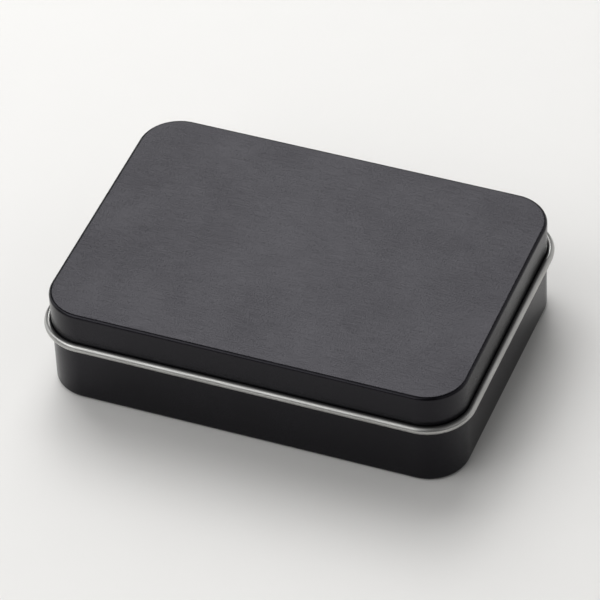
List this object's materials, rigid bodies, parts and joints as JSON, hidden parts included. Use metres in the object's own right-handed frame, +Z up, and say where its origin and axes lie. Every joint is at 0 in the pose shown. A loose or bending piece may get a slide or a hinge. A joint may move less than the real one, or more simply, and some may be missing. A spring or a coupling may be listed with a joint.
{
  "type": "hinged card game tin",
  "caption": "Flat rectangular tinplate case with rounded corners: a drawn base and a curled-rim lid that swings on wire pins along the back, sized for a deck of cards.",
  "frame": {"origin": "centre of the closed tin's footprint, on the plane it rests on", "axes": "+X along the long side, +Y from the front towards the hinge at the back, +Z up through the lid"},
  "size_m": [0.1002, 0.0722, 0.0246],
  "materials": {
    "black_lacquer": "satin black lacquer on tinplate",
    "bare_tinplate": "bare bright tinplate",
    "pin_wire": "drawn steel wire"
  },
  "bodies": {
    "base": {"base_pan": "black_lacquer"},
    "lid": {"lid_pan": "black_lacquer", "hinge_pin_left": "pin_wire", "hinge_pin_right": "pin_wire"}
  },
  "joints": [
    {"name": "lid_hinge", "type": "hinge", "parent": "base", "child": "lid", "pos_m": [0, 0.03518, 0.0159], "axis": [-1, 0, 0], "range_deg": [0, 115]}
  ]
}
